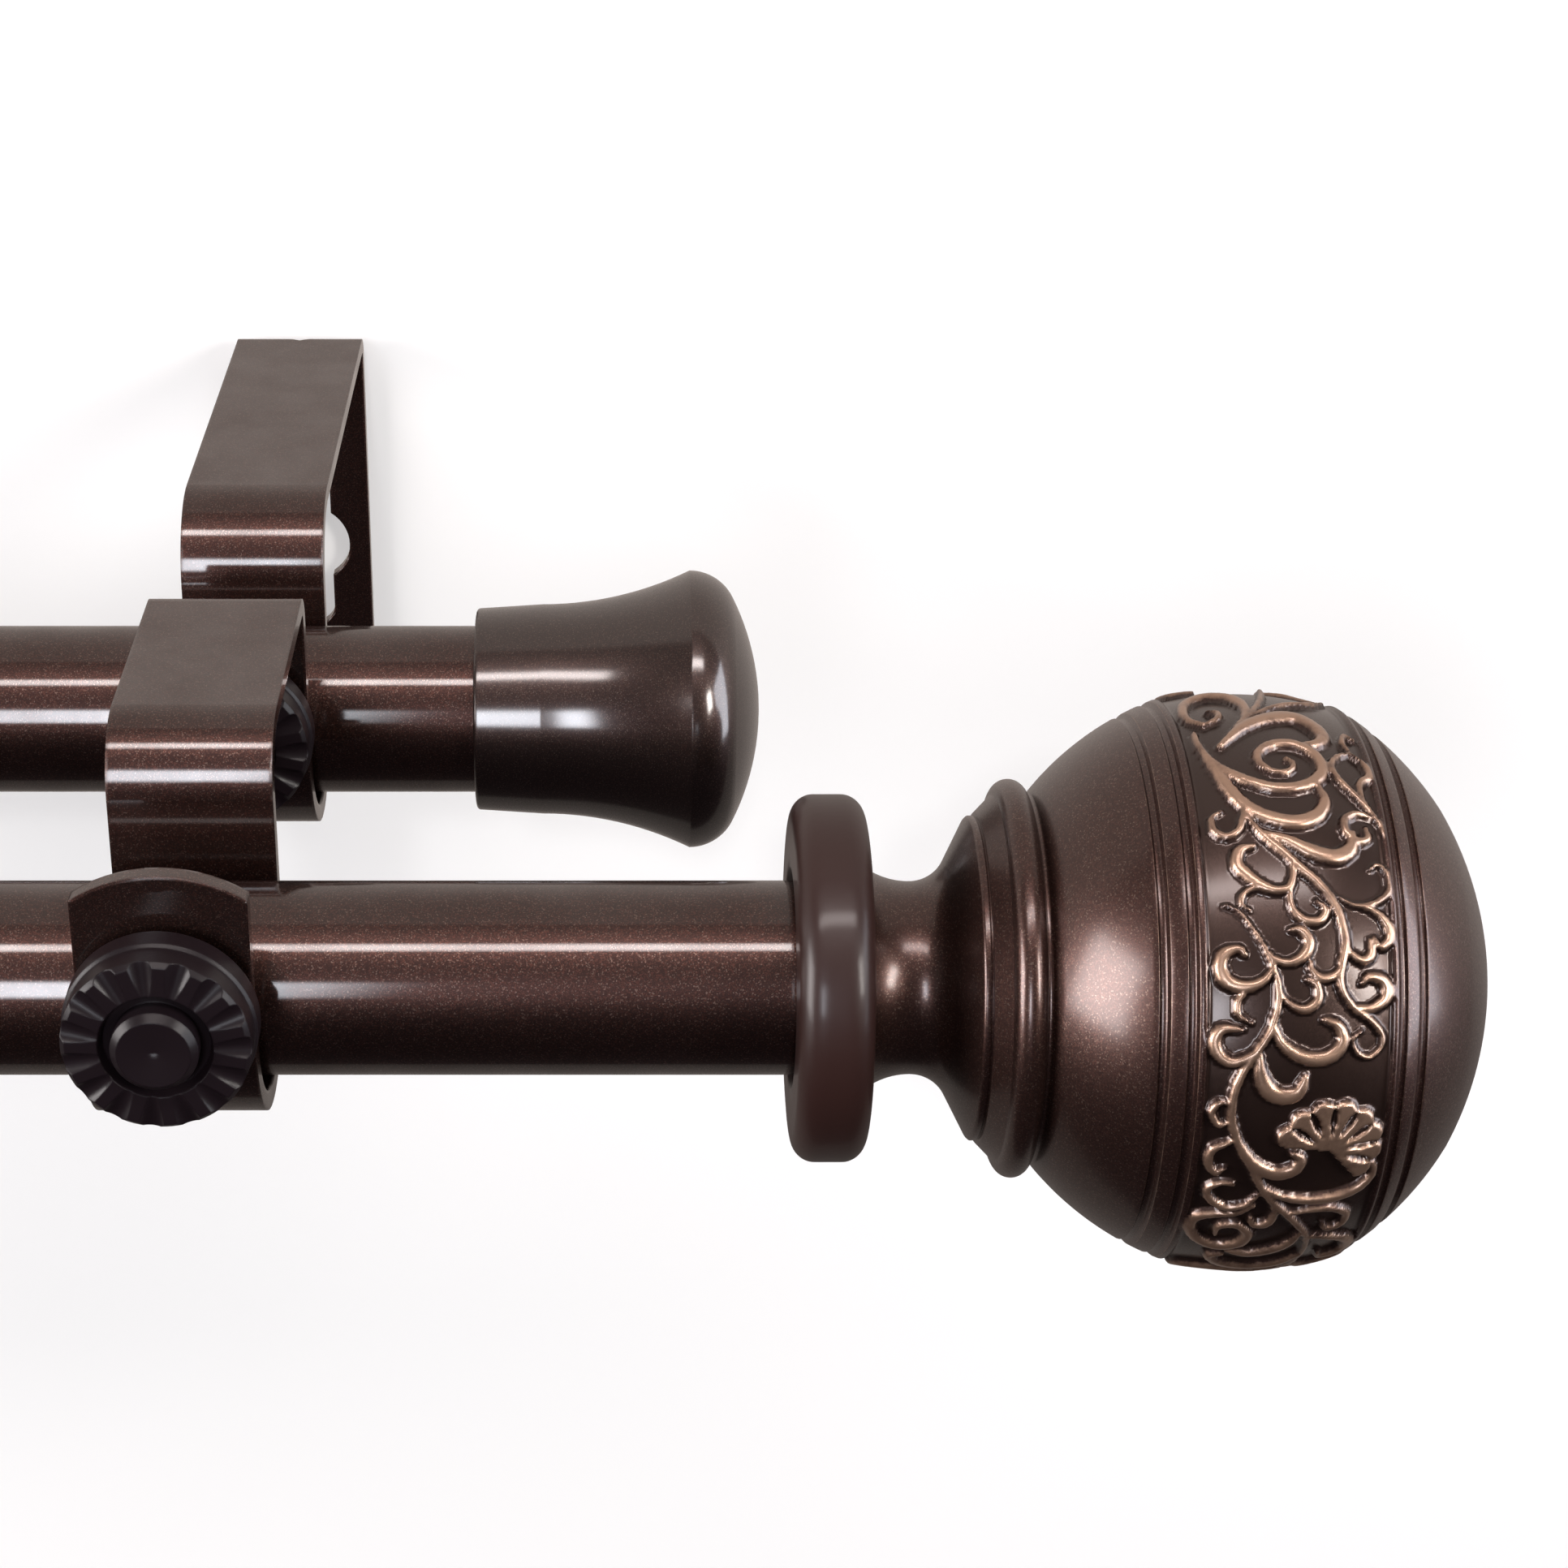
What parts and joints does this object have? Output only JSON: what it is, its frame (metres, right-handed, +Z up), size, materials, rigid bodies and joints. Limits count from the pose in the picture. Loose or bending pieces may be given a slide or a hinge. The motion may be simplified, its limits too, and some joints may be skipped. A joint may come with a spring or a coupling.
{
  "type": "double curtain pole",
  "caption": "Telescopic front and back curtain rods on bent strap wall brackets, with carved ball finials on the front rod and turned caps on the back rod.",
  "frame": {"origin": "centre of the keyhole in the right bracket's wall plate, on the wall plane", "axes": "+X along the poles towards the right finial, +Y into the wall, +Z up"},
  "size_m": [0.957, 0.2159, 0.0872],
  "materials": {
    "bronze_paint": "gloss",
    "cast_bronze_finish": "satin",
    "chocolate_collar": "gloss",
    "cap_bronze_finish": "satin",
    "black_knob_plastic": "satin",
    "plated_steel": "satin"
  },
  "bodies": {
    "right_half": {"right_bracket": "bronze_paint", "front_outer_tube": "bronze_paint", "back_outer_tube": "bronze_paint", "right_finial": "cast_bronze_finish", "right_finial_collar": "chocolate_collar", "right_finial_stud": "plated_steel", "right_pole_cap": "cap_bronze_finish"},
    "left_half": {"left_bracket": "bronze_paint", "front_inner_tube": "bronze_paint", "back_inner_tube": "bronze_paint", "left_finial": "cast_bronze_finish", "left_finial_collar": "chocolate_collar", "left_finial_stud": "plated_steel", "left_pole_cap": "cap_bronze_finish"},
    "right_front_screw": {"right_front_screw_shank": "plated_steel"},
    "right_front_knob": {"right_front_knob": "black_knob_plastic"},
    "right_back_screw": {"right_back_screw_shank": "plated_steel"},
    "right_back_knob": {"right_back_knob": "black_knob_plastic"},
    "left_front_screw": {"left_front_screw_shank": "plated_steel"},
    "left_front_knob": {"left_front_knob": "black_knob_plastic"},
    "left_back_screw": {"left_back_screw_shank": "plated_steel"},
    "left_back_knob": {"left_back_knob": "black_knob_plastic"}
  },
  "joints": [
    {"name": "pole_extension", "type": "slide", "parent": "right_half", "child": "left_half", "axis": [-1, 0, 0], "range_m": [-0.015, 0.435]},
    {"name": "right_front_screw_travel", "type": "slide", "parent": "right_half", "child": "right_front_screw", "axis": [0, -1, 0], "range_m": [0, 0.004]},
    {"name": "right_front_knob_turn", "type": "hinge", "parent": "right_front_screw", "child": "right_front_knob", "pos_m": [0, -0.1778, 0.0157], "axis": [0, -1, 0], "range_deg": [0, 1800]},
    {"name": "right_back_screw_travel", "type": "slide", "parent": "right_half", "child": "right_back_screw", "axis": [0, -1, 0], "range_m": [0, 0.004]},
    {"name": "right_back_knob_turn", "type": "hinge", "parent": "right_back_screw", "child": "right_back_knob", "pos_m": [0, -0.1008, 0.0185], "axis": [0, -1, 0], "range_deg": [0, 1800]},
    {"name": "left_front_screw_travel", "type": "slide", "parent": "left_half", "child": "left_front_screw", "axis": [0, -1, 0], "range_m": [0, 0.004]},
    {"name": "left_front_knob_turn", "type": "hinge", "parent": "left_front_screw", "child": "left_front_knob", "pos_m": [-0.62, -0.1778, 0.0157], "axis": [0, -1, 0], "range_deg": [0, 1800]},
    {"name": "left_back_screw_travel", "type": "slide", "parent": "left_half", "child": "left_back_screw", "axis": [0, -1, 0], "range_m": [0, 0.004]},
    {"name": "left_back_knob_turn", "type": "hinge", "parent": "left_back_screw", "child": "left_back_knob", "pos_m": [-0.62, -0.1008, 0.0185], "axis": [0, -1, 0], "range_deg": [0, 1800]}
  ],
  "couplings": [
    {"joint": "right_front_screw_travel", "follows": "right_front_knob_turn", "m_per_rad": 0.00012732},
    {"joint": "right_back_screw_travel", "follows": "right_back_knob_turn", "m_per_rad": 0.00012732},
    {"joint": "left_front_screw_travel", "follows": "left_front_knob_turn", "m_per_rad": 0.00012732},
    {"joint": "left_back_screw_travel", "follows": "left_back_knob_turn", "m_per_rad": 0.00012732}
  ]
}
